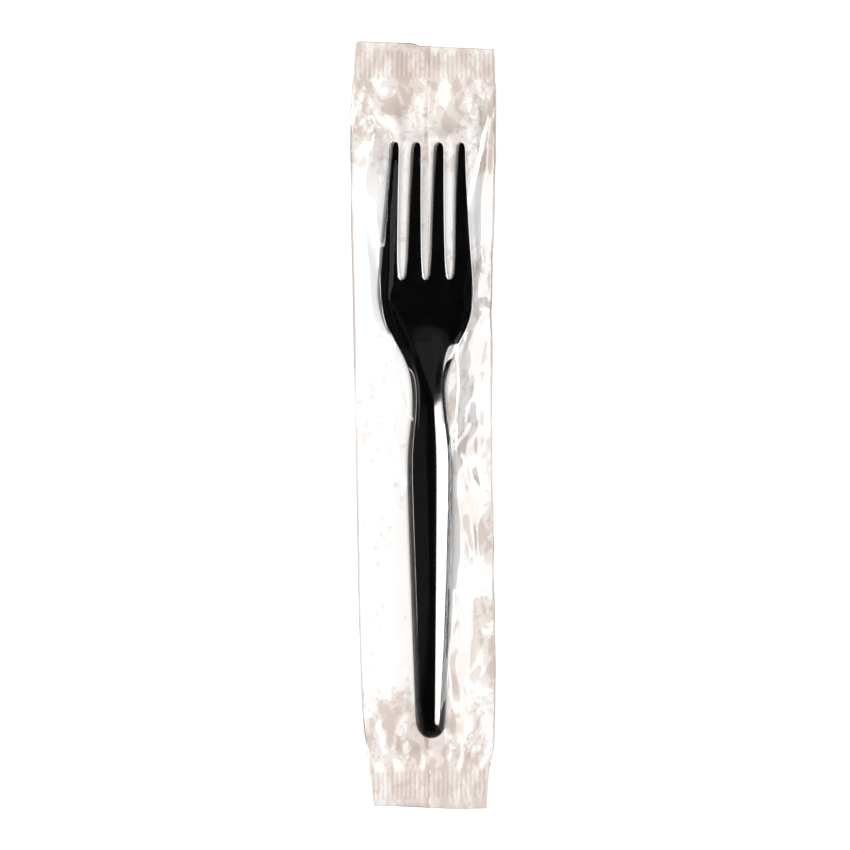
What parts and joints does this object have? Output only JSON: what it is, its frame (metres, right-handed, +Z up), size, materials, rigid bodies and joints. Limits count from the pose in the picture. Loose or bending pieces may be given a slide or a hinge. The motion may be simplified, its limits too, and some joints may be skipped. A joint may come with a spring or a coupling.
{
  "type": "wrapped plastic fork",
  "caption": "Black plastic fork with a hollow arched handle, sealed flat in a narrow clear film wrapper with ribbed crimp seals at its ends and a fin seam folded along the back.",
  "frame": {"origin": "middle of the pack's underside, in the plane of the surface it lies on", "axes": "+Y along the fork towards the tips of its tines, +Z up through the pack away from the surface, +X to the right seen from above with the tines away from the viewer"},
  "size_m": [0.0378, 0.196, 0.0106],
  "materials": {
    "fork": "gloss black moulded polystyrene",
    "film": "clear glossy packaging film"
  },
  "bodies": {
    "root": {"fork": "fork", "film_wrapper": "film"}
  },
  "joints": []
}
